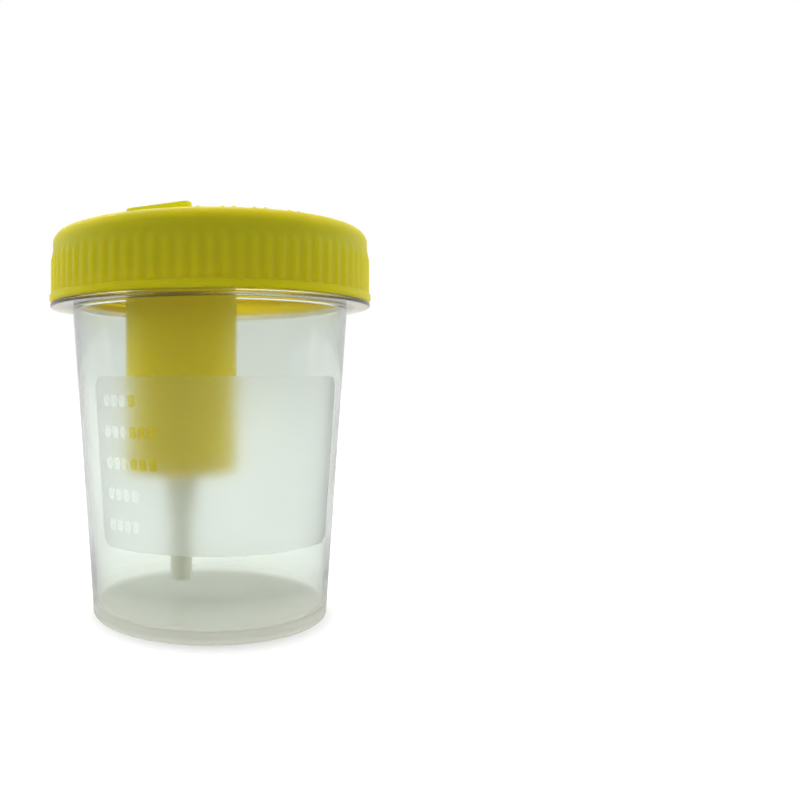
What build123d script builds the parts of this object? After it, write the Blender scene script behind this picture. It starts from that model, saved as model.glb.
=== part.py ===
from build123d import *
from math import cos, radians, sin, tan
import os

os.makedirs("parts", exist_ok=True)

# A 100 ml specimen container. Its screw lid holds a well for a vacuum sample tube, a covered
# needle in the well's floor, and a straw that reaches down into the cup.
# Millimetres, +Z up. The origin is the centre of the foot ring, on the surface it stands on.

# ---------------------------------------------------------------- cup
foot_radius = 23.25           # outside of the wall, carried down to the standing surface
wall_draft = 3.9              # taper of the wall, degrees
cup_wall = 1.0
floor_thickness = 1.2
foot_lift = 0.8               # how far the floor is held off the surface
foot_ring_width = 1.7
foot_edge_chamfer = 0.45
floor_corner_chamfer = 1.1    # inside, between the floor and the wall
body_height = 60.0            # standing surface to the underside of the flange
flange_width = 3.4            # how far it stands out from the neck
flange_thickness = 0.8
neck_height = 11.1            # flange to rim
neck_radius = 28.3            # outside of the neck, between the turns of its thread
neck_wall = 1.5
neck_lead_in = 1.2            # height of the slope between the wall and the wider neck
rim_chamfer = 0.4
edge_break = 0.25             # small chamfer on moulded edges, on every piece
gate_radius = 1.1             # stub of the moulding gate, in the middle of the underside
gate_height = 0.35
floor_bead_radius = 14.8      # fine moulded ring on the underside of the floor
floor_bead_size = 0.4

# ---------------------------------------------------------------- sealing ring
ring_thickness = 1.0
ring_width = 2.6
ring_side_gap = 0.15          # beside the lid's plug
seat_gap = 0.05               # above and below the ring

# ---------------------------------------------------------------- screw lid
lid_plate = 1.5
thread_space = 1.5            # neck to the inside of the skirt, room for the turns of the thread
skirt_wall = 1.4
skirt_gap = 0.25              # between the skirt's edge and the cup's flange
lid_edge_radius = 2.2         # of the lid's upper edge, rounded off in two slopes
bead_height = 1.45            # smooth band along the skirt's lower edge
rib_count = 80
rib_proud = 0.6               # out from the plain upper band
bead_proud = 0.65             # the smooth band, a hair more
rib_crest_width = 0.8
rib_root_width = 1.7
rib_top_slope = 2.6           # height over which a rib's top runs back to the upper band
upper_band_height = 3.4       # plain band above the ribs
plug_gap = 0.9                # between the plug and the inside of the neck
plug_wall = 1.0
plug_depth = 2.6
plug_lead_in = 0.5

# ---------------------------------------------------------------- tube well, part of the lid
well_x = -5.9
well_y = 2.5
well_bore_radius = 10.0
well_wall = 1.35
well_depth = 45.7             # lid's top face to the well's floor
well_floor = 1.5
well_corner_chamfer = 0.6
well_mouth_chamfer = 0.5
boss_radius = 3.4             # holds the needle hub
boss_height = 2.5
nipple_radius = 2.4
nipple_length = 4.2
nipple_bore_radius = 0.9

# ---------------------------------------------------------------- needle, its hub and its sleeve
push_fit = 0.02               # clearance between pieces pushed together
cannula_radius = 0.45
cannula_bore_radius = 0.26
cannula_below_floor = 1.8     # how far it reaches down into the nipple
cannula_reach = 19.5          # well's floor to its tip
bevel_angle = 20.0            # of the ground tip, from the needle's own line
hub_spigot_radius = 1.9
hub_collar_radius = 2.9
hub_collar_height = 1.3
hub_post_radius = 1.15
hub_post_height = 3.2
hub_barb_radius = 1.4
hub_barb_share = 0.4          # of the post's height, where the barb starts
sleeve_wall = 0.5
sleeve_tip_gap = 1.0          # above the needle's tip, inside
sleeve_needle_gap = 0.35      # around the needle

# ---------------------------------------------------------------- transfer straw
straw_radius = 2.2
straw_wall = 0.8
straw_floor_gap = 3.2         # its open end to the cup's floor
funnel_length = 10.85         # the rest, down to the open end, is straight
socket_radius = 3.8           # outside of the funnel's top

# ---------------------------------------------------------------- peel seal
film_thickness = 0.25
seal_overlap_width = 4.0      # how far the film reaches beyond the well's bore
tab_width = 11.2
tab_edge_gap = 5.3            # tab's free edge back from the front of the lid
tab_flat_length = 1.5         # in front of the disc, before the tab leaves the lid's top
tab_lift_near = 0.3           # rise of the tab's free edge, at the lower of its two corners
tab_lift_far = 1.5            # and at the higher corner
tab_half_way = 0.3            # share of its rise that the tab has half way along
tab_turn = 6.0                # sideways from straight forward, degrees

# ---------------------------------------------------------------- heights and radii that follow
floor_top = foot_lift + floor_thickness
flange_top = body_height + flange_thickness
rim_height = flange_top + neck_height
ring_bottom = rim_height + seat_gap
plate_underside = ring_bottom + ring_thickness + seat_gap
lid_top = plate_underside + lid_plate
lid_bottom = flange_top + skirt_gap

neck_bore_radius = neck_radius - neck_wall
flange_radius = neck_radius + flange_width
plug_radius = neck_bore_radius - plug_gap
ring_bore_radius = plug_radius + ring_side_gap
skirt_bore_radius = neck_radius + thread_space
skirt_radius = skirt_bore_radius + skirt_wall
bead_radius = skirt_radius + bead_proud
bead_top = lid_bottom + bead_height

well_floor_top = lid_top - well_depth
well_bottom = well_floor_top - well_floor
nipple_bottom = well_bottom - nipple_length
boss_top = well_floor_top + boss_height
hub_bore_radius = hub_spigot_radius + push_fit

seal_disc_radius = well_bore_radius + seal_overlap_width
tab_rise_start = seal_disc_radius + tab_flat_length
tab_reach = skirt_radius + well_y - tab_edge_gap


def wall_radius(height):
    """Outside radius of the cup's tapered wall at a height."""
    return foot_radius + height * tan(radians(wall_draft))


def corner(radius, height, chamfer=0.0):
    """One corner of a turned outline, left sharp or chamfered."""
    return Vector(radius, height), chamfer


def turned(*outline):
    """Solid of revolution about Z, with the given closed outline of corners."""
    points = []
    for (before, _), (here, chamfer), (after, _) in zip(
            outline[-1:] + outline[:-1], outline, outline[1:] + outline[:1]):
        if chamfer:
            points += [here + (before - here).normalized() * chamfer,
                       here + (after - here).normalized() * chamfer]
        else:
            points.append(here)
    return revolve(make_face(Plane.XZ * Polyline(*points, close=True)), Axis.Z)


def rod(radius, bottom, top):
    """Upright cylinder between two heights."""
    return extrude(Plane.XY.offset(bottom) * Circle(radius), top - bottom)


def over_well(shape):
    """Moves a shape made about Z to the tube well's own centre line."""
    return Pos(well_x, well_y, 0) * shape


def make_cup():
    inner_skin = cup_wall / cos(radians(wall_draft))
    neck_slope_bottom = flange_top - neck_lead_in
    cup = turned(
        corner(0, foot_lift),
        corner(foot_radius - foot_ring_width, foot_lift),
        corner(foot_radius - foot_ring_width, 0, chamfer=edge_break),
        corner(foot_radius, 0, chamfer=foot_edge_chamfer),
        corner(wall_radius(body_height), body_height),
        corner(flange_radius, body_height),
        corner(flange_radius, flange_top),
        corner(neck_radius, flange_top),
        corner(neck_radius, rim_height, chamfer=rim_chamfer),
        corner(neck_bore_radius, rim_height, chamfer=rim_chamfer),
        corner(neck_bore_radius, flange_top),
        corner(wall_radius(neck_slope_bottom) - inner_skin, neck_slope_bottom),
        corner(wall_radius(floor_top) - inner_skin, floor_top, chamfer=floor_corner_chamfer),
        corner(0, floor_top),
    )
    bead = turned(
        corner(floor_bead_radius - floor_bead_size, foot_lift),
        corner(floor_bead_radius, foot_lift - floor_bead_size),
        corner(floor_bead_radius + floor_bead_size, foot_lift),
        corner(floor_bead_radius, floor_top - floor_thickness / 2),
    )
    gate = rod(gate_radius, foot_lift - gate_height, floor_top - floor_thickness / 2)
    return cup + bead + gate


def make_sealing_ring():
    top = ring_bottom + ring_thickness
    return turned(
        corner(ring_bore_radius, ring_bottom),
        corner(ring_bore_radius + ring_width, ring_bottom),
        corner(ring_bore_radius + ring_width, top),
        corner(ring_bore_radius, top),
    )


def make_grip_ribs():
    """Upright ribs round the skirt, with drafted flanks and tops that slope back to the band above."""
    root = skirt_radius - skirt_wall / 3
    crest = skirt_radius + rib_proud
    top = lid_top - upper_band_height
    top_at_root = top + rib_top_slope * (skirt_radius - root) / rib_proud
    side = make_face(Plane.XZ * Polyline(
        (root, bead_top),
        (crest, bead_top),
        (crest, top - rib_top_slope),
        (root, top_at_root),
        close=True,
    ))
    flank = (rib_root_width - rib_crest_width) / 2 / rib_proud
    half_inside = rib_root_width / 2 + flank * (skirt_radius - root)
    plan = make_face(Polyline(
        (root, -half_inside),
        (crest, -rib_crest_width / 2),
        (crest, rib_crest_width / 2),
        (root, half_inside),
        close=True,
    ))
    height = top_at_root - bead_top
    rib = extrude(side, half_inside, both=True) & extrude(Plane.XY.offset(bead_top) * plan, height)
    return [turn * rib for turn in PolarLocations(0, rib_count)]


def make_screw_lid():
    plug_bottom = plate_underside - plug_depth
    edge_turns = [radians(turn) for turn in (0, 45, 90)]
    shell = turned(
        corner(skirt_bore_radius, lid_bottom, chamfer=edge_break),
        corner(bead_radius, lid_bottom, chamfer=edge_break),
        corner(bead_radius, bead_top),
        corner(skirt_radius, bead_top),
        *[corner(skirt_radius - lid_edge_radius * (1 - cos(turn)),
                 lid_top - lid_edge_radius * (1 - sin(turn))) for turn in edge_turns],
        corner(0, lid_top),
        corner(0, plate_underside),
        corner(plug_radius - plug_wall, plate_underside),
        corner(plug_radius - plug_wall, plug_bottom),
        corner(plug_radius, plug_bottom, chamfer=plug_lead_in),
        corner(plug_radius, plate_underside),
        corner(skirt_bore_radius, plate_underside),
    )
    well_radius = well_bore_radius + well_wall
    plate_middle = plate_underside + lid_plate / 2
    outside = turned(
        corner(0, nipple_bottom),
        corner(nipple_radius, nipple_bottom, chamfer=edge_break),
        corner(nipple_radius, well_bottom),
        corner(well_radius, well_bottom, chamfer=well_corner_chamfer),
        corner(well_radius, plate_middle),
        corner(0, plate_middle),
    )
    inside = turned(
        corner(boss_radius, well_floor_top),
        corner(well_bore_radius, well_floor_top, chamfer=well_corner_chamfer / 2),
        corner(well_bore_radius, lid_top - well_mouth_chamfer),
        corner(well_bore_radius + well_mouth_chamfer, lid_top),
        corner(0, lid_top),
        corner(0, boss_top),
        corner(boss_radius, boss_top, chamfer=edge_break),
    )
    hub_bore = rod(hub_bore_radius, well_bottom, boss_top)
    fluid_bore = rod(nipple_bore_radius, nipple_bottom, well_bottom)
    return (shell.fuse(*make_grip_ribs()) + over_well(outside)
            - over_well(inside) - over_well(hub_bore) - over_well(fluid_bore))


def make_needle_hub():
    spigot_bottom = well_bottom + seat_gap
    collar_bottom = boss_top + seat_gap
    post_bottom = collar_bottom + hub_collar_height
    post_top = post_bottom + hub_post_height
    barb_bottom = post_bottom + hub_barb_share * hub_post_height
    bore = cannula_radius + push_fit
    hub = turned(
        corner(bore, spigot_bottom),
        corner(hub_spigot_radius, spigot_bottom),
        corner(hub_spigot_radius, collar_bottom),
        corner(hub_collar_radius, collar_bottom),
        corner(hub_collar_radius, post_bottom),
        corner(hub_post_radius, post_bottom),
        corner(hub_post_radius, barb_bottom),
        corner(hub_barb_radius, barb_bottom),
        corner(hub_post_radius, post_top),
        corner(bore, post_top),
    )
    return over_well(hub)


def make_needle_cannula():
    bottom = well_bottom - cannula_below_floor
    tip = well_floor_top + cannula_reach
    tube = rod(cannula_radius, bottom, tip) - rod(cannula_bore_radius, bottom, tip)
    slant = radians(bevel_angle)
    grind = Plane(origin=(cannula_radius, 0, tip), z_dir=(cos(slant), 0, sin(slant)))
    return over_well(split(tube, bisect_by=grind, keep=Keep.BOTTOM))


def make_needle_sleeve():
    bottom = boss_top + 2 * seat_gap + hub_collar_height
    shoulder = bottom + hub_post_height + seat_gap
    tip = well_floor_top + cannula_reach + sleeve_tip_gap
    grip_bore = hub_barb_radius + push_fit
    bore = cannula_radius + sleeve_needle_gap
    sleeve = turned(
        corner(grip_bore, bottom),
        corner(grip_bore + sleeve_wall, bottom),
        corner(grip_bore + sleeve_wall, shoulder),
        corner(bore + sleeve_wall, shoulder + sleeve_wall),
        corner(bore + sleeve_wall, tip + sleeve_wall, chamfer=sleeve_wall),
        corner(0, tip + sleeve_wall),
        corner(0, tip),
        corner(bore, tip),
        corner(bore, shoulder),
        corner(grip_bore, shoulder),
    )
    return over_well(sleeve)


def make_transfer_straw():
    end = floor_top + straw_floor_gap
    top = well_bottom - seat_gap
    funnel_bottom = top - funnel_length
    socket_bottom = nipple_bottom - seat_gap
    socket_bore = nipple_radius + push_fit
    bore = straw_radius - straw_wall
    straw = turned(
        corner(bore, end),
        corner(straw_radius, end),
        corner(straw_radius, funnel_bottom),
        corner(socket_radius, top),
        corner(socket_bore, top),
        corner(socket_bore, socket_bottom),
        corner(bore, socket_bottom),
    )
    return over_well(straw)


def make_tab_section(reach, near_lift, far_lift):
    """Upright cut across the tab, with its two ends lifted by different amounts."""
    half = tab_width / 2
    return make_face(Polyline(
        (-half, -reach, near_lift),
        (half, -reach, far_lift),
        (half, -reach, far_lift + film_thickness),
        (-half, -reach, near_lift + film_thickness),
        close=True,
    ))


def make_peel_seal():
    """Film disc over the well's mouth, and a tab that curls up in front of it."""
    middle = (tab_rise_start + tab_reach) / 2
    disc = extrude(Circle(seal_disc_radius), film_thickness)
    flat = loft([make_tab_section(0, 0, 0), make_tab_section(tab_rise_start, 0, 0)])
    curl = loft([
        make_tab_section(tab_rise_start, 0, 0),
        make_tab_section(middle, tab_half_way * tab_lift_near, tab_half_way * tab_lift_far),
        make_tab_section(tab_reach, tab_lift_near, tab_lift_far),
    ])
    return over_well(Pos(0, 0, lid_top) * Rot(0, 0, -tab_turn) * (disc + flat + curl))


makers = {
    "cup": make_cup,
    "sealing_ring": make_sealing_ring,
    "screw_lid": make_screw_lid,
    "needle_hub": make_needle_hub,
    "needle_cannula": make_needle_cannula,
    "needle_sleeve": make_needle_sleeve,
    "transfer_straw": make_transfer_straw,
    "peel_seal": make_peel_seal,
}

for node, make in makers.items():
    export_step(make(), f"parts/{node}.step")
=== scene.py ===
from math import cos, pi, radians, sin, tan

import bmesh
import bpy
import numpy as np
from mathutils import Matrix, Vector


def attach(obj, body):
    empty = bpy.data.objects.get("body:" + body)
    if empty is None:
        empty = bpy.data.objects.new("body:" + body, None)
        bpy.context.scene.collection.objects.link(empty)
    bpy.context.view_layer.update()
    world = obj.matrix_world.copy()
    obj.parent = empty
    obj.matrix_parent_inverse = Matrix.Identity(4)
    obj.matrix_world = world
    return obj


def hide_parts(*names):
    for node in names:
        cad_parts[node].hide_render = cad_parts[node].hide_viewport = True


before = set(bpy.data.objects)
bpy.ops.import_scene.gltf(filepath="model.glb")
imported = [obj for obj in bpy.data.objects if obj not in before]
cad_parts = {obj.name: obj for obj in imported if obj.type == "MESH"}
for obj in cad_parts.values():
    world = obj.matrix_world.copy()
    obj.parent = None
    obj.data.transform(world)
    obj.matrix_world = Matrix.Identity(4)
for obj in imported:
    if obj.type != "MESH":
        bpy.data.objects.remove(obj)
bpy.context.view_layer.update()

# ---------------------------------------------------------------- the cup
# One injection moulding in clear polypropylene, drafted so that it leaves the tool. It stands on
# a foot ring, and a thin flange under the neck is where the lid stops. The wall's outside has a
# write-on field that was sand-blasted in the tool, with rows of polished marks left in it.
MM = 0.001                    # the values below are in mm, and Blender's are in metres

foot_radius, wall_draft, cup_wall, floor_thickness = 23.25, 3.9, 1.0, 1.2
foot_lift, foot_ring_width, foot_edge_rounding, floor_corner_rounding = 0.8, 1.7, 0.6, 0.9
floor_bead_radius, floor_bead_size = 14.8, 0.4
gate_radius, gate_height = 1.1, 0.35
body_height, flange_width, flange_thickness = 60.0, 3.4, 0.8
neck_height, neck_radius, neck_wall, neck_lead_in = 11.1, 28.3, 1.5, 1.2
rim_rounding = 0.5
floor_top = foot_lift + floor_thickness
flange_top = body_height + flange_thickness
rim_height = flange_top + neck_height
neck_bore_radius = neck_radius - neck_wall
flange_radius = neck_radius + flange_width

thread_starts, thread_pitch, thread_turns = 2, 3.8, 0.8
thread_depth, thread_crest, thread_flank = 1.0, 0.8, 0.4
thread_run_out = radians(15)  # over which a turn rises from the wall at either end
cup_thread_bottom = flange_top + 2.0
thread_row = 0.17             # spacing of the mesh's rows where a thread runs
thread_row_margin = 0.8       # how far from the neck's ends those rows stop
end_margin = 0.08             # from a long straight's end to the point that holds its shading
arc_step = radians(15)        # about what each facet of a rounding turns
on_the_wall = 0.01            # a radius this near to a wall's is that wall's


def wall_radius(height):
    """Outside radius of the tapered wall at a height."""
    return foot_radius + height * tan(radians(wall_draft))


def rounded(corners):
    """(radius, height) points along (radius, height, rounding) corners, an arc at each rounding.
    Each long straight gets a point near both ends, which keeps its shading flat between them."""
    points = []
    for i, (radius, height, rounding) in enumerate(corners):
        here = Vector((radius, height))
        if rounding == 0:
            points.append(here)
            continue
        back = (Vector(corners[i - 1][:2]) - here).normalized()
        ahead = (Vector(corners[i + 1][:2]) - here).normalized()
        half = back.angle(ahead) / 2
        centre = here + (back + ahead).normalized() * rounding / sin(half)
        first = here + back * rounding / tan(half) - centre
        last = here + ahead * rounding / tan(half) - centre
        steps = max(2, round((pi - 2 * half) / arc_step))
        for k in range(steps + 1):
            points.append(centre + first.slerp(last, k / steps) * rounding)
    held = [points[0]]
    for start, end in zip(points, points[1:]):
        run = end - start
        if run.length > 10 * end_margin:
            held += [start + run.normalized() * end_margin, end - run.normalized() * end_margin]
        held.append(end)
    return [(p.x, p.y) for p in held]


def with_rows(points, low, high, step):
    """The same outline, with extra rows on each straight upright that spans low to high."""
    filled = [points[0]]
    for (r0, z0), (r1, z1) in zip(points, points[1:]):
        if min(z0, z1) <= low and max(z0, z1) >= high:
            heights = np.linspace(low, high, int((high - low) / step))
            heights = heights if z1 > z0 else heights[::-1]
            filled += [(r0 + (r1 - r0) * (z - z0) / (z1 - z0), z) for z in heights]
        filled.append((r1, z1))
    return filled


def ring(angles, radius, height, centre=(0.0, 0.0)):
    """A level ring of points in metres. The radius is one number, or one for each angle."""
    x = centre[0] + radius * np.sin(angles)
    y = centre[1] - radius * np.cos(angles)
    return np.stack([x, y, np.full_like(angles, height)], axis=1) * MM


def skin(name, rings, closed=False, sharp=35):
    """Mesh object through rings of points. A ring with no size closes that end."""
    count, across = len(rings), len(rings[0])
    near = np.arange(across)
    beside = (near + 1) % across
    faces = []
    for i in range(count if closed else count - 1):
        this, after = i * across, (i + 1) % count * across
        faces.append(
            np.stack([this + near, this + beside, after + beside, after + near], axis=1))
    mesh = bpy.data.meshes.new(name)
    mesh.from_pydata(np.concatenate(rings).tolist(), [], np.concatenate(faces).tolist())
    shape = bmesh.new()
    shape.from_mesh(mesh)
    bmesh.ops.remove_doubles(shape, verts=shape.verts, dist=1e-7)
    bmesh.ops.recalc_face_normals(shape, faces=shape.faces)
    for edge in shape.edges:
        edge.smooth = edge.calc_face_angle(0) < radians(sharp)
    for face in shape.faces:
        face.smooth = True
    shape.to_mesh(mesh)
    shape.free()
    piece = bpy.data.objects.new(name, mesh)
    bpy.context.scene.collection.objects.link(piece)
    return piece


def thread_rise(angles, height, bottom):
    """How far a thread's turns stand out from the wall at a height, round the given angles."""
    rise = np.zeros_like(angles)
    for start in range(thread_starts):
        run = (angles - 2 * pi * start / thread_starts) % (2 * pi)
        middle = bottom + thread_pitch * thread_starts * run / (2 * pi)
        flank = (thread_crest / 2 + thread_flank - np.abs(height - middle)) / thread_flank
        end = np.minimum(run, 2 * pi * thread_turns - run) / thread_run_out
        rise = np.maximum(rise, np.clip(flank, 0, 1) * np.clip(end, 0, 1))
    return rise * thread_depth


def linear(text):
    """Linear RGBA from an sRGB hex colour."""
    parts = [int(text[i:i + 2], 16) / 255 for i in (1, 3, 5)]
    return [c / 12.92 if c <= 0.04045 else ((c + 0.055) / 1.055) ** 2.4 for c in parts] + [1.0]


def add(tree, kind, *inputs, named=None, **properties):
    """Adds a shader node. Inputs go in by place or by name, each a value or a socket to link."""
    made = tree.nodes.new(kind)
    for key, value in properties.items():
        setattr(made, key, value)
    for key, value in [*enumerate(inputs), *(named or {}).items()]:
        if isinstance(value, bpy.types.NodeSocket):
            tree.links.new(value, made.inputs[key])
        elif value is not None:
            made.inputs[key].default_value = value
    return made


def new_material(name):
    """An empty node material, its tree and a socket with the place in the object, in mm."""
    material = bpy.data.materials.new(name)
    material.use_nodes = True
    tree = material.node_tree
    tree.nodes.clear()
    place = add(tree, "ShaderNodeTexCoord").outputs["Object"]
    scaled = add(tree, "ShaderNodeVectorMath", place, operation="SCALE", named={"Scale": 1 / MM})
    return material, tree, scaled.outputs[0]


cup_angles = np.linspace(0, 2 * pi, 360, endpoint=False)
inner_skin = cup_wall / cos(radians(wall_draft))
slope_bottom = flange_top - neck_lead_in
cup_outline = with_rows(rounded([
    (0, foot_lift - gate_height, 0),
    (gate_radius, foot_lift - gate_height, 0.1),
    (gate_radius, foot_lift, 0.1),
    (floor_bead_radius - floor_bead_size, foot_lift, 0),
    (floor_bead_radius, foot_lift - floor_bead_size, 0.15),
    (floor_bead_radius + floor_bead_size, foot_lift, 0),
    (foot_radius - foot_ring_width, foot_lift, 0.3),
    (foot_radius - foot_ring_width, 0, 0.4),
    (foot_radius, 0, foot_edge_rounding),
    (wall_radius(body_height), body_height, 0.3),
    (flange_radius, body_height, 0.35),
    (flange_radius, flange_top, 0.25),
    (neck_radius, flange_top, 0.3),
    (neck_radius, rim_height, rim_rounding),
    (neck_bore_radius, rim_height, rim_rounding),
    (neck_bore_radius, flange_top, 0),
    (wall_radius(slope_bottom) - inner_skin, slope_bottom, 0),
    (wall_radius(floor_top) - inner_skin, floor_top, floor_corner_rounding),
    (0, floor_top, 0),
]), flange_top + thread_row_margin, rim_height - thread_row_margin, thread_row)
cup_rings = []
for radius, height in cup_outline:
    threaded = abs(radius - neck_radius) < on_the_wall
    rise = thread_rise(cup_angles, height, cup_thread_bottom) if threaded else 0
    cup_rings.append(ring(cup_angles, radius + rise, height))
cup = skin("specimen_cup", cup_rings)

field_left, field_right, field_bottom, field_top = -52.3, 62.5, 15.7, 46.6
field_radius, field_corner = 25.4, 2.2        # the radius turns the field's degrees into mm
mark_start, mark_pitch, mark_width, mark_height, mark_corner = -47.1, 1.95, 1.45, 2.1, 0.45
row_top, row_pitch, row_share, row_corner = 42.3, 5.57, 0.9, 0.1
marks_in_row = (4, 6, 6, 4, 4)
edge_blur = 0.06              # the blasting fades out over twice this at an edge
mark_clearness = 0.75         # how much of the blasting a mark lacks


def rounded_patch(tree, flat, middle, size, corner):
    """1 inside a rounded rectangle on the unrolled wall, 0 outside it."""
    half = [max(length / 2 - corner, 0) for length in size] + [0]
    shift = add(tree, "ShaderNodeVectorMath", flat, (*middle, 0), operation="SUBTRACT").outputs[0]
    away = add(tree, "ShaderNodeVectorMath", shift, operation="ABSOLUTE").outputs[0]
    past = add(tree, "ShaderNodeVectorMath", away, half, operation="SUBTRACT").outputs[0]
    clear = add(tree, "ShaderNodeVectorMath", past, (0, 0, 0), operation="MAXIMUM").outputs[0]
    far = add(tree, "ShaderNodeVectorMath", clear, operation="LENGTH").outputs["Value"]
    edge = add(tree, "ShaderNodeMapRange", far, corner - edge_blur, corner + edge_blur, 1.0, 0.0)
    return edge.outputs[0]


def blasted_share(tree, place):
    """1 where the wall is blasted, 0 outside the field and on its polished marks."""
    x, y, z = add(tree, "ShaderNodeSeparateXYZ", place).outputs
    front = add(tree, "ShaderNodeMath", y, -1.0, operation="MULTIPLY").outputs[0]
    turn = add(tree, "ShaderNodeMath", x, front, operation="ARCTAN2").outputs[0]
    along = add(tree, "ShaderNodeMath", turn, field_radius, operation="MULTIPLY").outputs[0]
    flat = add(tree, "ShaderNodeCombineXYZ", along, z).outputs[0]
    left, right = radians(field_left) * field_radius, radians(field_right) * field_radius
    field = rounded_patch(tree, flat, ((left + right) / 2, (field_bottom + field_top) / 2),
                          (right - left, field_top - field_bottom), field_corner)
    start = radians(mark_start) * field_radius
    origin = (start, row_top - row_pitch / 2, 0)
    cell = add(tree, "ShaderNodeVectorMath", flat, origin, operation="SUBTRACT")
    pitch = (mark_pitch, row_pitch, 1)
    share = add(tree, "ShaderNodeVectorMath", cell.outputs[0], pitch, operation="DIVIDE")
    part = add(tree, "ShaderNodeVectorMath", share.outputs[0], operation="FRACTION")
    local = add(tree, "ShaderNodeVectorMath", part.outputs[0], pitch, operation="MULTIPLY")
    marks = rounded_patch(tree, local.outputs[0], (mark_pitch / 2, row_pitch / 2),
                          (mark_width, mark_height), mark_corner)
    rows = 0.0
    for i, count in enumerate(marks_in_row):
        length = count * mark_pitch
        row = rounded_patch(tree, flat, (start + length / 2, row_top - i * row_pitch),
                            (length, row_pitch * row_share), row_corner)
        rows = add(tree, "ShaderNodeMath", rows, row, operation="MAXIMUM").outputs[0]
    polished = add(tree, "ShaderNodeMath", marks, rows, operation="MULTIPLY").outputs[0]
    rest = add(tree, "ShaderNodeMath", polished, -mark_clearness, 1.0,
               operation="MULTIPLY_ADD").outputs[0]
    return add(tree, "ShaderNodeMath", field, rest, operation="MULTIPLY").outputs[0]


noise_span = (0.3, 0.7)       # the values between which most of a noise lies
flow_wave, blast_grain = 9.0, 0.3             # width of a flow wave and of the blasting's grain
milky_height = 8.0            # the floor's milkiness fades out up to here
floor_milk, wall_milk, field_milk = 0.36, 0.015, 0.035    # share of the light that is scattered
milk_through = 0.75           # and how much of that goes on through the wall


def clear_polypropylene(name, blasted=False):
    """Natural polypropylene: a faint green-grey cast, soft gloss and slight flow waves. The floor
    and the foot scatter light. The wall hardly does, and its blasted field blurs what lies behind
    it. The flange is tinted a shade warmer: painted light that stands in for the yellow lid's
    light in it."""
    material, tree, place = new_material(name)
    waves = add(tree, "ShaderNodeTexNoise", named={
        "Vector": place, "Scale": 1 / flow_wave, "Detail": 2.0}).outputs[0]
    grain = add(tree, "ShaderNodeTexNoise", named={
        "Vector": place, "Scale": 1 / blast_grain, "Detail": 2.0}).outputs[0]
    bump = add(tree, "ShaderNodeBump", named={
        "Height": waves, "Strength": 0.1, "Distance": 0.3 * MM}).outputs[0]
    share = blasted_share(tree, place) if blasted else 0.0
    gloss = add(tree, "ShaderNodeMapRange", waves, *noise_span, 0.06, 0.12).outputs[0]
    matt = add(tree, "ShaderNodeMapRange", grain, *noise_span, 0.32, 0.4).outputs[0]
    rough = add(tree, "ShaderNodeMix", share, data_type="FLOAT", named={2: gloss, 3: matt})
    tint = add(tree, "ShaderNodeMix", share, data_type="RGBA",
               named={6: linear("#EAEFEB"), 7: linear("#DBE1DD")}).outputs[2]
    height = add(tree, "ShaderNodeSeparateXYZ", place).outputs[2]
    # A warmer tint on the flange's band: painted light, standing in for the yellow lid's light in
    # it.
    flange = add(tree, "ShaderNodeMath", height, body_height + flange_thickness / 2, 0.5,
                 operation="COMPARE").outputs[0]
    tint = add(tree, "ShaderNodeMix", flange, data_type="RGBA",
               named={6: tint, 7: linear("#F3F3E0")}).outputs[2]
    clear = add(tree, "ShaderNodeBsdfPrincipled", named={
        "Base Color": tint, "Roughness": rough.outputs[0], "Normal": bump,
        "IOR": 1.49, "Transmission Weight": 1.0})
    back = add(tree, "ShaderNodeBsdfDiffuse", linear("#DEDED6"))
    through = add(tree, "ShaderNodeBsdfTranslucent", linear("#DEDED6"))
    haze = add(tree, "ShaderNodeMixShader", milk_through, back.outputs[0], through.outputs[0])
    milk = add(tree, "ShaderNodeMapRange", height, floor_top, milky_height,
               floor_milk, wall_milk).outputs[0]
    amount = add(tree, "ShaderNodeMath", share, field_milk, milk, operation="MULTIPLY_ADD")
    solid = add(tree, "ShaderNodeMixShader", amount.outputs[0], clear.outputs[0], haze.outputs[0])
    shadow = add(tree, "ShaderNodeLightPath").outputs["Is Shadow Ray"]
    lit = add(tree, "ShaderNodeBsdfTransparent", linear("#FDFEFC"))
    mix = add(tree, "ShaderNodeMixShader", shadow, solid.outputs[0], lit.outputs[0])
    add(tree, "ShaderNodeOutputMaterial", mix.outputs[0])
    return material


# The wall is thin and fairly clear, and blasted on part of its outside. The floor is thicker,
# rougher from the tool, and milkier.
blasted_top = body_height - 1
cup.data.materials.append(clear_polypropylene("clear_polypropylene"))
cup.data.materials.append(clear_polypropylene("blasted_polypropylene", blasted=True))
for face in cup.data.polygons:
    middle = face.center / MM
    outside = middle.xy.length > wall_radius(middle.z) - cup_wall / 2
    if outside and foot_edge_rounding < middle.z < blasted_top:
        face.material_index = 1
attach(cup, "cup_body")
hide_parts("cup")

# ---------------------------------------------------------------- the sealing ring
# A flat ring stamped from white elastomer sheet. It lies in the lid, round the plug, and is
# squeezed on the cup's rim when the lid is screwed down.
ring_angles = np.linspace(0, 2 * pi, 180, endpoint=False)
plug_gap, ring_side_gap, seat_gap = 0.9, 0.15, 0.05
ring_thickness, ring_width, ring_edge = 1.0, 2.6, 0.12
plug_radius = neck_bore_radius - plug_gap
ring_inside = plug_radius + ring_side_gap
ring_bottom = rim_height + seat_gap
ring_top = ring_bottom + ring_thickness
ring_middle = (ring_bottom + ring_top) / 2
seal = skin("liner_ring", [ring(ring_angles, r, z) for r, z in rounded([
    (ring_inside, ring_middle, 0),
    (ring_inside, ring_bottom, ring_edge),
    (ring_inside + ring_width, ring_bottom, ring_edge),
    (ring_inside + ring_width, ring_top, ring_edge),
    (ring_inside, ring_top, ring_edge),
    (ring_inside, ring_middle, 0),
])], sharp=60)

tone_spread = 0.06            # how much darker a moulding is in its deepest clouds
gloss_spread = 0.05           # how far its roughness moves either way


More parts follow.
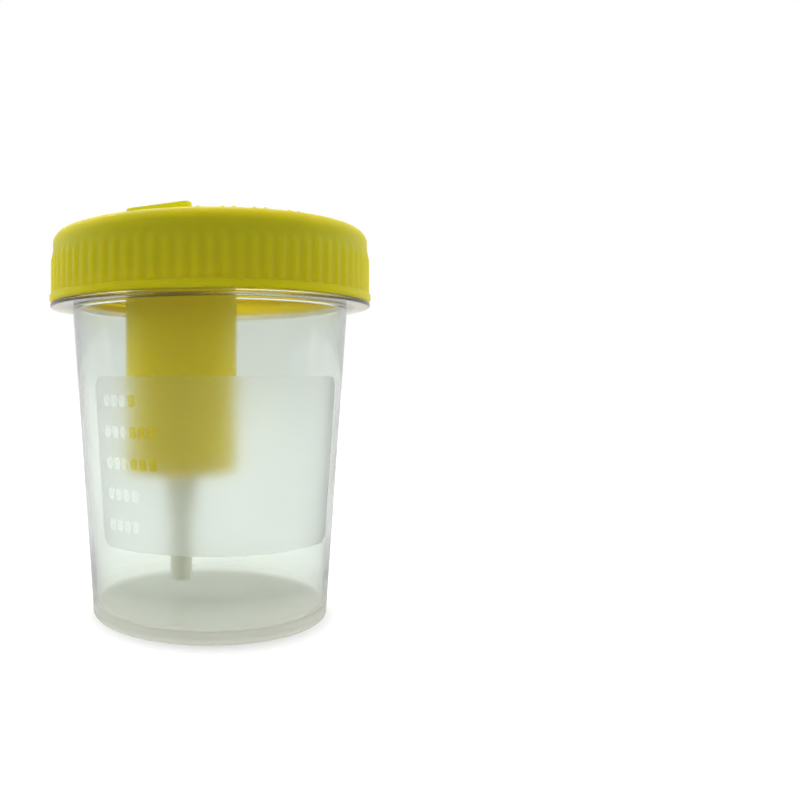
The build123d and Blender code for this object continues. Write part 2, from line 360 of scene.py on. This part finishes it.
def moulded(name, colour, roughness, cloud_size, grain_size, grain_depth, depth=0.0):
    """Moulded piece: clouds of tone and gloss, and the fine grain of its tool. The sizes are in
    mm. The depth is how far light wanders inside it, in mm, and 0 makes it opaque."""
    material, tree, place = new_material(name)
    cloud = add(tree, "ShaderNodeTexNoise", named={
        "Vector": place, "Scale": 1 / cloud_size, "Detail": 4.0}).outputs[0]
    grain = add(tree, "ShaderNodeTexNoise", named={
        "Vector": place, "Scale": 1 / grain_size, "Detail": 2.0}).outputs[0]
    pale = linear(colour)
    deep = [c * (1 - tone_spread) for c in pale[:3]] + [1.0]
    tone = add(tree, "ShaderNodeMix", cloud, data_type="RGBA", named={6: deep, 7: pale})
    gloss = add(tree, "ShaderNodeMapRange", cloud, *noise_span,
                roughness - gloss_spread, roughness + gloss_spread)
    bump = add(tree, "ShaderNodeBump", named={
        "Height": grain, "Strength": 0.3, "Distance": grain_depth * MM})
    body = add(tree, "ShaderNodeBsdfPrincipled", named={
        "Base Color": tone.outputs[2], "Roughness": gloss.outputs[0], "Normal": bump.outputs[0],
        "IOR": 1.49, "Specular IOR Level": 0.25, "Subsurface Weight": float(depth > 0),
        "Subsurface Radius": pale[:3], "Subsurface Scale": depth * MM})
    add(tree, "ShaderNodeOutputMaterial", body.outputs[0])
    return material


# Thermoplastic elastomer: dull, a little uneven in tone, with a skin finer than a hair.
seal.data.materials.append(moulded("white_elastomer", "#E2E2DA", 0.55, 4, 0.3, 0.02))
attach(seal, "seal_body")
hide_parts("sealing_ring")

# ---------------------------------------------------------------- the screw lid
# One injection moulding in yellow polyethylene: the ribbed skirt with its thread, the top plate,
# the plug that enters the neck, the closed well for a sample tube and the nipple under it.
lid_plate, thread_space, skirt_wall, skirt_gap = 1.5, 1.5, 1.4, 0.25
lid_edge_rounding, bead_height, bead_proud = 2.2, 1.45, 0.65
rib_count, rib_proud, rib_top_slope, upper_band = 80, 0.4, 2.6, 3.4
rib_steps = (-0.88, -0.68, -0.46, -0.2, 0.2, 0.46, 0.68, 0.88)   # places across one rib, in mm
rib_rises = (0.4, 0.52, 0.85, 1.0, 1.0, 0.85, 0.52, 0.4)         # share of its height there
rib_rows = 6                  # of the mesh, up the slope at a rib's top
bead_shoulder = 0.2
plug_wall, plug_depth = 1.0, 2.6
well_centre = (-5.9, 2.5)
well_bore, well_wall, well_depth, well_floor = 10.0, 1.35, 45.7, 1.5
well_corner, well_mouth = 0.9, 0.5
boss_radius, boss_height, hub_bore = 3.4, 2.5, 1.92
nipple_radius, nipple_length, nipple_bore = 2.4, 4.2, 0.9
plate_underside = ring_top + seat_gap
lid_top = plate_underside + lid_plate
lid_bottom = flange_top + skirt_gap
skirt_bore = neck_radius + thread_space
skirt_radius = skirt_bore + skirt_wall
bead_radius = skirt_radius + bead_proud
well_floor_top = lid_top - well_depth
well_bottom = well_floor_top - well_floor
nipple_bottom = well_bottom - nipple_length
boss_top = well_floor_top + boss_height
rib_bottom, rib_top = lid_bottom + bead_height, lid_top - upper_band

rib_angle = 2 * pi / rib_count
lid_angles = np.concatenate([
    k * rib_angle + np.array(rib_steps) / skirt_radius for k in range(rib_count)])
rib_shape = np.tile(rib_rises, rib_count) * rib_proud

skirt_row_low, skirt_row_high = 0.4, 0.6      # how far from the skirt's ends its rows stop
top_inset, under_inset = 3.5, 2.0             # where the plate is met from the skirt and the plug
bridge_rings = 3              # of the mesh, from there to the well


def well_rings(corners):
    """Rings round the well's axis along the corners of an outline."""
    return [ring(lid_angles, r, z, well_centre) for r, z in rounded(corners)]


def bridge(inner, outer, count):
    """Rings between two others that needn't share a centre."""
    return [inner + (outer - inner) * k / (count + 1) for k in range(1, count + 1)]


def lid_ring(radius, height):
    """A ring of the lid's shell, with ribs on its outside and a thread in its skirt."""
    if abs(radius - skirt_radius) < on_the_wall:
        rise = np.clip((rib_top - height) / rib_top_slope, 0, 1)
        return ring(lid_angles, radius + rib_shape * rise * rise * (3 - 2 * rise), height)
    if abs(radius - skirt_bore) < on_the_wall:
        rise = thread_rise(lid_angles, height, lid_thread_bottom)
        return ring(lid_angles, radius - rise, height)
    return ring(lid_angles, radius, height)


lid_thread_bottom = cup_thread_bottom - thread_pitch / 2
shell_outline = rounded([
    (skirt_radius - top_inset, lid_top, 0),
    (skirt_radius, lid_top, lid_edge_rounding),
    *[(skirt_radius, rib_top - rib_top_slope * k / rib_rows, 0) for k in range(rib_rows + 1)],
    (skirt_radius, rib_bottom, 0),
    (bead_radius, rib_bottom - bead_shoulder, 0),
    (bead_radius, lid_bottom, 0.5),
    (skirt_bore, lid_bottom, 0.3),
    (skirt_bore, plate_underside, 0.5),
    (plug_radius, plate_underside, 0),
    (plug_radius, plate_underside - plug_depth, 0.4),
    (plug_radius - plug_wall, plate_underside - plug_depth, 0.3),
    (plug_radius - plug_wall, plate_underside, 0.4),
    (plug_radius - plug_wall - under_inset, plate_underside, 0),
])
shell_outline = with_rows(shell_outline, lid_bottom + skirt_row_low,
                          plate_underside - skirt_row_high, thread_row)
well_inside = well_rings([
    (nipple_bore, nipple_bottom, 0),
    (nipple_bore, well_bottom, 0),
    (hub_bore, well_bottom, 0),
    (hub_bore, boss_top, 0),
    (boss_radius, boss_top, 0.25),
    (boss_radius, well_floor_top, 0.3),
    (well_bore, well_floor_top, 0.5),
    (well_bore, lid_top - well_mouth, 0),
    (well_bore + well_mouth, lid_top, 0),
])
shell_rings = [lid_ring(radius, height) for radius, height in shell_outline]
well_outside = well_rings([
    (well_bore + well_wall, plate_underside, 0),
    (well_bore + well_wall, well_bottom, well_corner),
    (nipple_radius, well_bottom, 0.3),
    (nipple_radius, nipple_bottom, 0.3),
    (nipple_bore, nipple_bottom, 0),
])
lid = skin("ribbed_lid", [
    *well_inside, *bridge(well_inside[-1], shell_rings[0], bridge_rings),
    *shell_rings, *bridge(shell_rings[-1], well_outside[0], bridge_rings),
    *well_outside[:-1],
], closed=True)

# Yellow polyethylene: satin and waxy. Light from behind goes deep into the skirt and warms it,
# and the well, seen through the cup, is the same plastic with light that stays near its surface.
# Its yellow is painted paler than the skirt's, a lit copy of the same colour.
well_reach = 12.0             # all of the well, and nothing else down there, is this near its axis
# The well's paler yellow is painted light: the lid is one plastic, in one colour.
for finish, colour, depth in (("skirt", "#EACA1E", 18.0), ("well", "#FFE223", 1.0)):
    lid.data.materials.append(
        moulded(f"yellow_polyethylene_{finish}", colour, 0.45, 7, 0.35, 0.03, depth))
for face in lid.data.polygons:
    middle = face.center / MM
    below_plug = middle.z < plate_underside - plug_depth
    if below_plug and (middle.xy - Vector(well_centre)).length < well_reach:
        face.material_index = 1
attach(lid, "lid_body")
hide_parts("screw_lid")

# Raised pips moulded with the lid, in the same plastic, near the front of its top.
pip_circle, pip_radius, pip_height, pip_root = 28.5, 0.5, 0.35, 0.1
pip_turns = (-4, 4, 8, 15, 19, 28, 32)        # degrees round the lid, from the front
pip_angles = np.linspace(0, 2 * pi, 16, endpoint=False)
for number, degrees in enumerate(pip_turns, start=1):
    turn = radians(degrees)
    pip_centre = (pip_circle * sin(turn), -pip_circle * cos(turn))
    pip = skin(f"lid_pip_{number}", [
        ring(pip_angles, pip_radius * cos(t),
             lid_top - pip_root + (pip_height + pip_root) * sin(t), pip_centre)
        for t in np.linspace(0, pi / 2, 6)])
    # They take the well's material, whose paler yellow is painted light.
    pip.data.materials.append(lid.data.materials[1])
    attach(pip, "lid_body")

# ---------------------------------------------------------------- the needle and what holds it
# Inside the well, out of sight under the film: a white polypropylene hub pressed into the boss, a
# drawn steel cannula with a ground tip, and a rubber sleeve over it that a tube pushes down.
for node, finish in {
    "needle_hub": moulded("white_polypropylene", "#E6E7E0", 0.4, 2, 0.2, 0.02),
    "needle_sleeve": moulded("grey_rubber", "#8C8A84", 0.6, 2, 0.15, 0.02),
}.items():
    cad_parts[node].data.materials.clear()
    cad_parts[node].data.materials.append(finish)

# Drawn stainless steel, with the fine lines that the die leaves along the tube.
steel, tree, place = new_material("drawn_stainless_steel")
line_spacing, line_length = 0.025, 2.0
per_line = (1 / line_spacing, 1 / line_spacing, 1 / line_length)
stretch = add(tree, "ShaderNodeVectorMath", place, per_line, operation="MULTIPLY").outputs[0]
lines = add(tree, "ShaderNodeTexNoise", named={
    "Vector": stretch, "Scale": 1.0, "Detail": 3.0}).outputs[0]
gloss = add(tree, "ShaderNodeMapRange", lines, *noise_span, 0.22, 0.38)
bump = add(tree, "ShaderNodeBump", named={
    "Height": lines, "Strength": 0.2, "Distance": 0.01 * MM})
body = add(tree, "ShaderNodeBsdfPrincipled", named={
    "Base Color": linear("#C9CACB"), "Metallic": 1.0, "Roughness": gloss.outputs[0],
    "Normal": bump.outputs[0]})
add(tree, "ShaderNodeOutputMaterial", body.outputs[0])
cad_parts["needle_cannula"].data.materials.clear()
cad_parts["needle_cannula"].data.materials.append(steel)

# ---------------------------------------------------------------- the transfer straw
# Injection moulded in natural polypropylene. Its funnel is the socket that is pushed over the
# nipple, and its straight tube ends open, just above the cup's floor.
straw_radius, straw_wall, straw_floor_gap, straight_length = 2.2, 0.8, 3.2, 11.2
socket_radius, push_fit, shoulder_rounding = 3.8, 0.02, 6.0
straw_end = floor_top + straw_floor_gap
straw_bore = straw_radius - straw_wall
straw_angles = np.linspace(0, 2 * pi, 96, endpoint=False)
straw = skin("straw", [ring(straw_angles, r, z, well_centre) for r, z in rounded([
    (straw_bore, straw_end + 1, 0),
    (straw_bore, straw_end, 0.1),
    (straw_radius, straw_end, 0.2),
    (straw_radius, straw_end + straight_length, shoulder_rounding),
    (socket_radius, well_bottom - seat_gap, 0.25),
    (nipple_radius + push_fit, well_bottom - seat_gap, 0.15),
    (nipple_radius + push_fit, nipple_bottom - seat_gap, 0),
    (straw_bore, nipple_bottom - seat_gap, 0),
    (straw_bore, straw_end + 1, 0),
])])

# Natural polypropylene in a thicker wall: milky, waxy and satin.
straw.data.materials.append(
    moulded("natural_polypropylene", "#EAEADC", 0.35, 3, 0.3, 0.02, depth=1.0))
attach(straw, "lid_body")
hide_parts("transfer_straw")

# ---------------------------------------------------------------- the peel seal
# Yellow plastic film die-cut to a disc with a tab and stuck over the well's mouth, so that the
# needle stays clean. The tab isn't stuck: it stands up a little where it was bent to be pulled.
film_thickness, seal_overlap, tab_width, tab_edge_gap = 0.25, 4.0, 11.2, 5.3
tab_flat_length, tab_lift_near, tab_lift_far, tab_turn = 1.5, 0.3, 1.5, 6.0
tab_corner, throat_rounding, rise_power = 1.2, 2.5, 1.74
throat_length, throat_flare = 1.5, 0.4        # how far the throat reaches, and its most flare
lip_underside = 0.6           # the tab's underside rises less than its top, so its lip is thicker
disc_radius = well_bore + seal_overlap
tab_rise_start = disc_radius + tab_flat_length
tab_reach = skirt_radius + well_centre[1] - tab_edge_gap


def film_half_width(reach):
    """Half the film's width at a distance forward of the well's centre line."""
    chord = np.sqrt(max(disc_radius ** 2 - reach ** 2, 0))
    if reach <= 0:
        return chord
    near_end = max(reach - (tab_reach - tab_corner), 0)
    tab = tab_width / 2 - tab_corner + np.sqrt(max(tab_corner ** 2 - near_end ** 2, 0))
    blend = np.sqrt(((chord - tab) / 2) ** 2 + (throat_rounding / 6) ** 2)
    throat = (chord + tab) / 2 + blend
    past_throat = reach > disc_radius + throat_length
    return tab if past_throat else min(throat, max(chord, tab) + throat_flare)


def film_section(reach):
    """A ring of points across the film: along its underside and back along its top."""
    across = np.linspace(-1, 1, 25)
    side = across * film_half_width(reach)
    run = np.clip((reach - tab_rise_start) / (tab_reach - tab_rise_start), 0, 1) ** rise_power
    lift = run * (tab_lift_near + (tab_lift_far - tab_lift_near) * (side / tab_width + 0.5))
    forward = np.full_like(side, -reach)
    under = np.stack([side, forward, lift * lip_underside], axis=1)
    over = np.stack([side, forward, lift + film_thickness], axis=1)[::-1]
    points = np.concatenate([under, over])
    turn = radians(-tab_turn)
    x = points[:, 0] * cos(turn) - points[:, 1] * sin(turn) + well_centre[0]
    y = points[:, 0] * sin(turn) + points[:, 1] * cos(turn) + well_centre[1]
    return np.stack([x, y, points[:, 2] + lid_top], axis=1) * MM


reaches = np.concatenate([
    -disc_radius * np.cos(np.linspace(0, pi / 2, 40)),
    np.linspace(0, tab_rise_start, 50)[1:],
    np.linspace(tab_rise_start, tab_reach - tab_corner, 24)[1:],
    tab_reach - tab_corner + tab_corner * np.sin(np.linspace(0, pi / 2, 8))[1:],
])
sections = [film_section(reach) for reach in reaches]
closing = [np.repeat(section.mean(axis=0, keepdims=True), len(section), axis=0)
           for section in (sections[0], sections[-1])]
film = skin("film_seal", [closing[0], *sections, closing[1]])

# Polyethylene film: glossier than the lid, and bright where light comes through the raised tab.
crease_size, film_through = 6.0, 0.55         # mm between soft creases, share of light let on
yellow_film, tree, place = new_material("yellow_film")
creases = add(tree, "ShaderNodeTexNoise", named={
    "Vector": place, "Scale": 1 / crease_size, "Detail": 3.0}).outputs[0]
tone = add(tree, "ShaderNodeMix", creases, data_type="RGBA",
           named={6: linear("#EFEF2C"), 7: linear("#F5F63C")}).outputs[2]
gloss = add(tree, "ShaderNodeMapRange", creases, *noise_span, 0.25, 0.4)
bump = add(tree, "ShaderNodeBump", named={
    "Height": creases, "Strength": 0.3, "Distance": 0.2 * MM})
body = add(tree, "ShaderNodeBsdfPrincipled", named={
    "Base Color": tone, "Roughness": gloss.outputs[0], "Normal": bump.outputs[0], "IOR": 1.5,
    "Specular IOR Level": 0.25})
through = add(tree, "ShaderNodeBsdfTranslucent", tone)
mix = add(tree, "ShaderNodeMixShader", film_through, body.outputs[0], through.outputs[0])
add(tree, "ShaderNodeOutputMaterial", mix.outputs[0])
film.data.materials.append(yellow_film)
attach(film, "lid_body")
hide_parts("peel_seal")

# ---------------------------------------------------------------- the bench and the light
# A plain pale bench in a white surround, a large soft lamp above and behind, and weaker side
# lamps, so that the lid's front is in its own shade. What a gloss mirrors is a room that is dark
# in front and light behind.
bench_size = 3.0              # half its side, in m
# The bench's glow is dimmed between these radii: a painted shadow under and round the foot.
contact_inside, contact_outside = 21.0, 27.0  # the bench darkens between these radii, in mm
painted_shadow_level, open_level = 0.25, 0.62        # how bright it looks under the foot and beside it
rise_start, rise_end, far_rise = 120.0, 500.0, 0.08       # it looks a little brighter far away
room_depth = 60.0             # the mirrored bench goes from dim to bright this far each way
room_levels = (0.08, 0.9)
bench_mesh = bpy.data.meshes.new("bench")
bench_mesh.from_pydata([(x * bench_size, y * bench_size, 0) for x, y in
                        ((-1, -1), (1, -1), (1, 1), (-1, 1))], [], [(0, 1, 2, 3)])
bench = bpy.data.objects.new("bench", bench_mesh)
bpy.context.scene.collection.objects.link(bench)


def ray_kinds(tree):
    """Two sockets: 1 where light is looked at, even through the plastic, and 1 where it has been
    mirrored on its way."""
    paths = add(tree, "ShaderNodeLightPath").outputs
    direct = add(tree, "ShaderNodeMath", paths["Is Camera Ray"], paths["Is Glossy Ray"],
                 operation="MAXIMUM").outputs[0]
    seen = add(tree, "ShaderNodeMath", direct, paths["Is Transmission Ray"], operation="MAXIMUM")
    mirrored = add(tree, "ShaderNodeMath", paths["Glossy Depth"], 0.5, operation="GREATER_THAN")
    return seen.outputs[0], mirrored.outputs[0]


# White laminate: it takes the lamps' light softly, and glows where it is looked at.
bench_paint, tree, place = new_material("white_bench")
seen, mirrored = ray_kinds(tree)
away = add(tree, "ShaderNodeVectorMath", place, operation="LENGTH").outputs["Value"]
# Painted shadow: the glow drops over the foot and just round it, then rises a little far away.
near = add(tree, "ShaderNodeMapRange", away, contact_inside, contact_outside,
           painted_shadow_level, open_level).outputs[0]
far = add(tree, "ShaderNodeMapRange", away, rise_start, rise_end, 0.0, far_rise).outputs[0]
bright = add(tree, "ShaderNodeMath", near, far, operation="ADD").outputs[0]
bright = add(tree, "ShaderNodeMath", seen, bright, operation="MULTIPLY").outputs[0]
body = add(tree, "ShaderNodeBsdfDiffuse", linear("#BCBCBC"))
glow = add(tree, "ShaderNodeEmission", linear("#FFFFFF"), bright)
both = add(tree, "ShaderNodeAddShader", body.outputs[0], glow.outputs[0])
deep = add(tree, "ShaderNodeSeparateXYZ", place).outputs["Y"]
level = add(tree, "ShaderNodeMapRange", deep, -room_depth, room_depth, *room_levels).outputs[0]
room = add(tree, "ShaderNodeEmission", linear("#FFFFFF"), level)
mix = add(tree, "ShaderNodeMixShader", mirrored, both.outputs[0], room.outputs[0])
add(tree, "ShaderNodeOutputMaterial", mix.outputs[0])
bench_mesh.materials.append(bench_paint)

# The surround lights the container from behind more than from in front. It is white where it is
# looked at, and a gloss mirrors it dim in front.
surround_span, surround_levels = (-0.2, 0.9), (0.47, 2.9)     # from in front to behind
mirrored_span, mirrored_levels = (0.1, 0.95), (0.1, 0.8)
world = bpy.data.worlds.new("white_surround")
bpy.context.scene.world = world
world.use_nodes = True
tree = world.node_tree
tree.nodes.clear()
seen, mirrored = ray_kinds(tree)
towards = add(tree, "ShaderNodeTexCoord").outputs["Generated"]
deep = add(tree, "ShaderNodeSeparateXYZ", towards).outputs["Y"]
soft = add(tree, "ShaderNodeMapRange", deep, *surround_span, *surround_levels).outputs[0]
room = add(tree, "ShaderNodeMapRange", deep, *mirrored_span, *mirrored_levels).outputs[0]
white = add(tree, "ShaderNodeMix", mirrored, data_type="FLOAT", named={2: 1.0, 3: room}).outputs[0]
level = add(tree, "ShaderNodeMix", seen, data_type="FLOAT", named={2: soft, 3: white})
sky = add(tree, "ShaderNodeBackground", linear("#FFFFFF"), level.outputs[0])
add(tree, "ShaderNodeOutputWorld", sky.outputs[0])

lamp_aim = Vector((0, 0, 0.04))               # the middle of the container, in m
for name, place, size, power in (
    ("lamp_above_behind", (-0.10, 0.30, 0.50), 0.45, 0.8),
    ("lamp_left", (-0.50, 0.10, 0.25), 0.35, 0.5),
    ("lamp_right", (0.50, 0.10, 0.25), 0.35, 0.5),
):
    lamp = bpy.data.lights.new(name, "AREA")
    lamp.size, lamp.energy = size, power
    holder = bpy.data.objects.new(name, lamp)
    holder.location = place
    holder.visible_glossy = name == "lamp_above_behind"
    holder.rotation_euler = (lamp_aim - Vector(place)).to_track_quat("-Z", "Y").to_euler()
    bpy.context.scene.collection.objects.link(holder)

# ---------------------------------------------------------------- the camera
# Level, a little over half way up the cup, with its axis through the cup's and the frame shifted.
camera_distance, camera_height = 0.155, 0.04605           # in m
camera_data = bpy.data.cameras.new("camera")
camera_data.lens, camera_data.sensor_width = 34.42, 36.0
camera_data.shift_x, camera_data.shift_y = 0.2375, -0.0258
camera_data.clip_start = 0.005
camera = bpy.data.objects.new("camera", camera_data)
camera.location = (0, -camera_distance, camera_height)
camera.rotation_euler = (pi / 2, 0, 0)
bpy.context.scene.collection.objects.link(camera)
bpy.context.scene.camera = camera
bpy.context.scene.view_settings.view_transform = "Standard"
